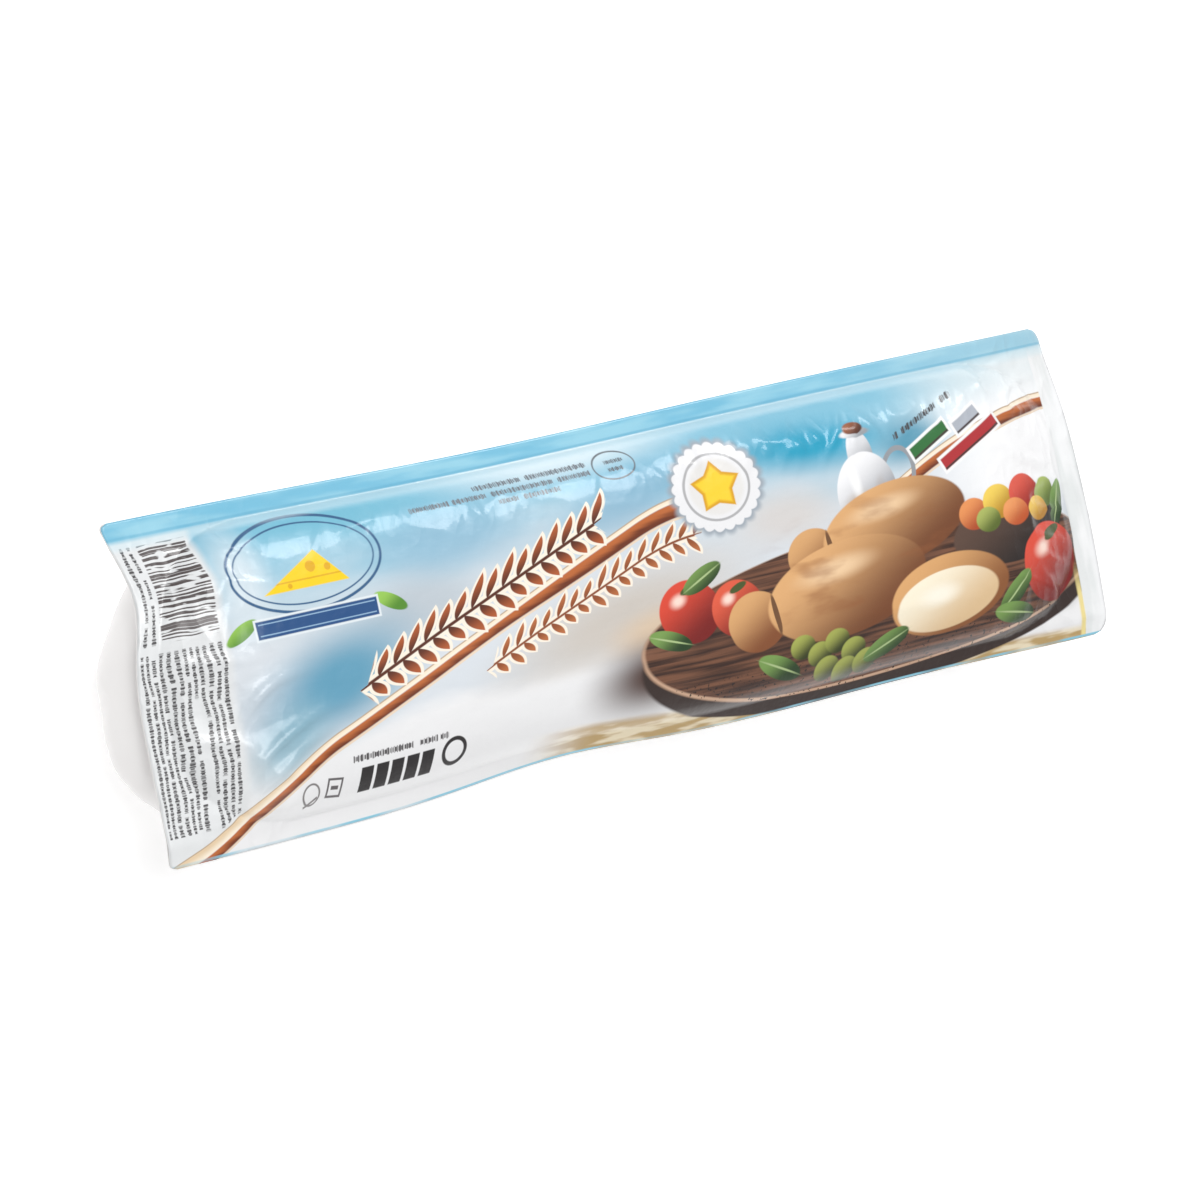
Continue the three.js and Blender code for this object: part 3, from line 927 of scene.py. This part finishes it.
def lay_short_ribbon(p):
    """The ribbon again at the right, rising and levelling out."""
    start = 84
    later = p.x - start
    middle = 8 + later * 0.48 - later * later * 0.0035
    lay_ribbon_part(p, p.y - middle, 1.5, start, 170, 1.2)


def lay_long_ribbon(p):
    """The ribbon from the lower left corner to the seal, with a garland of leaves above it."""
    half_width = step(p.x, -62, -15) * 0.75 + 1.3
    cream_width = step(p.x, -100, -148) * 1.7 + 1.3
    off = p.y - ribbon_height(p)
    lay_ribbon_part(p, off, half_width, -170, 16, cream_width)
    dark, light = (86, 36, 14), (178, 90, 44)
    lay_garland(p, off - 9.2, -96, 15, 5.4, 7.4, 1.7, dark, light, 0.9)


def lay_lower_garland(p):
    """A lighter garland under the ribbon."""
    off = p.y - ribbon_height(p)
    lay_garland(p, off + 8.2, -57, 15, 4.9, 5.4, 1.25, (140, 72, 34), (186, 108, 60), 0.7)


# What is laid on the film, from the lowest ink up, and where along the film it starts and ends
INKS = (
    (lay_sky, -200, 200),
    (lay_far_corner, 15, 200),
    (lay_fine_lines, -76, 6),
    (lay_cloth_and_board, -55, 200),
    (lay_short_ribbon, 82, 200),
    (lay_panel_ground, -200, -130),
    (lay_long_ribbon, -200, 18),
    (lay_lower_garland, -60, 22),
    (lay_seal, 5, 46),
    (lay_jug, 60, 98),
    (lay_still_life, -14, 165),
    (lay_bars, 84, 130),
    (lay_right_margin, 136, 200),
    (lay_badge, -134, -80),
    (lay_blocks, -122, -66),
    (lay_panel, -200, -130),
    (lay_edges, -200, 200),
)


def film_material(name, start, end):
    """Glossy printed film over one zone: its inks, a clear coat and a fine slackness."""
    material = bpy.data.materials.new(name)
    material.use_nodes = True
    tree = material.node_tree
    p = Print(tree, (216, 222, 228), start, end)
    for lay, first, last in INKS:
        if last > start and first < end:
            lay(p)
    finish_film(p, tree)
    return material


def finish_film(p, tree):
    """Puts the inks under a clear gloss, looser at the ends and along the far shoulder."""
    shader = tree.nodes["Principled BSDF"]
    plug(tree, shader.inputs["Base Color"], p.colour)
    slack = p.noise((9, 5), 3, 12.5)
    crinkle = p.noise((2.6, 5.0), 2, 15.5)
    ridge = abs(p.noise((8, 13), 1, 21.5) - 0.5)
    loose = largest(step(abs(p.x), 98, 134), step(abs(p.y - 29), 9, 3) * 0.7)
    plug(tree, shader.inputs["Roughness"], 0.3 + slack * 0.14)
    shader.inputs["Coat Weight"].default_value = 0.38
    shader.inputs["Coat Roughness"].default_value = 0.07
    bump = tree.nodes.new("ShaderNodeBump")
    bump.inputs["Strength"].default_value = 0.6
    bump.inputs["Distance"].default_value = 0.0006
    plug(tree, bump.inputs["Height"], slack * 0.7 + crinkle * 0.25 - ridge * loose * 4)
    tree.links.new(bump.outputs[0], shader.inputs["Normal"])


def plain_material(name, colour, roughness, coat, grain, depth):
    """A plain plastic, its surface softly uneven and creased by place on the object. grain is the
    size of the unevenness and depth its depth, both in millimetres."""
    material = bpy.data.materials.new(name)
    material.use_nodes = True
    tree = material.node_tree
    shader = tree.nodes["Principled BSDF"]
    place = add_node(tree, "TexCoord", output=3)
    uneven = add_node(tree, "TexNoise", Vector=place, Scale=MM_PER_METRE / grain, Detail=3.0)
    tint = add_node(tree, "TexNoise", Vector=place, Scale=30.0, Detail=2.0)
    mixed = tree.nodes.new("ShaderNodeMix")
    mixed.data_type = "RGBA"
    plug(tree, mixed.inputs[0], step(tint, 0.3, 0.7))
    mixed.inputs[6].default_value = linear(*colour)
    mixed.inputs[7].default_value = linear(*(c - 5 for c in colour))
    tree.links.new(mixed.outputs[2], shader.inputs["Base Color"])
    plug(tree, shader.inputs["Roughness"], roughness + uneven * 0.1)
    shader.inputs["Coat Weight"].default_value = coat
    bump = tree.nodes.new("ShaderNodeBump")
    bump.inputs["Strength"].default_value = 0.5
    bump.inputs["Distance"].default_value = depth / MM_PER_METRE
    fold = add_node(tree, "TexNoise", Vector=place, Scale=55.0, Detail=1.0)
    plug(tree, bump.inputs["Height"], uneven - abs(fold - 0.5) * 4)
    tree.links.new(bump.outputs[0], shader.inputs["Normal"])
    return material


film_zones = [
    film_material(f"film_print_{k + 1}", start, end)
    for k, (start, end) in enumerate(zip(ZONE_ENDS, ZONE_ENDS[1:]))
]
film_back = plain_material("film_back", (232, 233, 234), 0.3, 0.3, 8, 0.2)
tray_white = plain_material("tray_white", (234, 232, 231), 0.32, 0.2, 14, 0.6)

make_film(film_zones, film_back)
make_tray(tray_white)


# ---------------------------------------------------------------- floor, light, camera


def make_floor():
    """A wide plain floor, lit to near white."""
    mesh = bpy.data.meshes.new("floor")
    half = 4.0
    corners = [(-half, -half, 0), (half, -half, 0), (half, half, 0), (-half, half, 0)]
    mesh.from_pydata(corners, [], [(0, 1, 2, 3)])
    floor = bpy.data.objects.new("floor", mesh)
    bpy.context.scene.collection.objects.link(floor)
    material = bpy.data.materials.new("floor_white")
    material.use_nodes = True
    tree = material.node_tree
    shader = tree.nodes["Principled BSDF"]
    shader.inputs["Base Color"].default_value = linear(250, 250, 250)
    shader.inputs["Roughness"].default_value = 0.9
    shader.inputs["Emission Color"].default_value = (1, 1, 1, 1)
    shader.inputs["Emission Strength"].default_value = 0.33
    mesh.materials.append(material)


def make_light(name, place, aim, size, power):
    """A square soft box at place, facing aim."""
    data = bpy.data.lights.new(name, "AREA")
    data.size = size
    data.energy = power
    light = bpy.data.objects.new(name, data)
    light.location = place
    light.rotation_euler = (Vector(aim) - Vector(place)).to_track_quat("-Z", "Y").to_euler()
    bpy.context.scene.collection.objects.link(light)


def make_camera():
    """The photo's angle: 33 degrees towards the left end, a little to the far side, and rolled.
    The lens is given by its focal length in pixels of the 1200 pixel frame."""
    left, far, roll = math.radians(33.0), math.radians(2.57), math.radians(-11.49)
    sensor, distance = 36, 1.4265
    focal_pixels, frame_pixels = 5197.5, 1200
    right = Vector((math.cos(left), 0, math.sin(left)))
    back = Vector((-math.sin(left), 0, math.cos(left)))
    up = Vector((0, 1, 0)) * math.cos(far) - back * math.sin(far)
    back = back * math.cos(far) + Vector((0, 1, 0)) * math.sin(far)
    rolled_right = right * math.cos(roll) + up * math.sin(roll)
    rolled_up = up * math.cos(roll) - right * math.sin(roll)
    target = Vector((-12.74 + CENTRE_X, -2.57, TRAY_DEPTH)) / MM_PER_METRE
    turn = Matrix((rolled_right, rolled_up, back)).transposed().to_4x4()
    data = bpy.data.cameras.new("camera")
    data.sensor_width = sensor
    data.lens = sensor * focal_pixels / frame_pixels
    camera = bpy.data.objects.new("camera", data)
    camera.matrix_world = Matrix.Translation(target + back * distance) @ turn
    bpy.context.scene.collection.objects.link(camera)
    bpy.context.scene.camera = camera


make_floor()
make_light("soft_box_over", (-0.3, 0.3, 1.3), (0, 0, 0.03), 0.7, 9.0)
make_light("soft_box_far_right", (0.65, 0.8, 0.9), (0, 0, 0.03), 0.4, 4.5)
make_light("soft_box_near", (-0.1, -1.2, 0.7), (0, 0, 0.03), 0.8, 2.3)
make_light("soft_box_left", (-1.2, -0.2, 0.3), (0, 0, 0.02), 0.6, 0.5)
make_camera()

world = bpy.data.worlds.new("studio")
world.use_nodes = True
world.node_tree.nodes["Background"].inputs["Color"].default_value = (1, 1, 1, 1)
world.node_tree.nodes["Background"].inputs["Strength"].default_value = 0.44
bpy.context.scene.world = world
bpy.context.scene.view_settings.view_transform = "Standard"
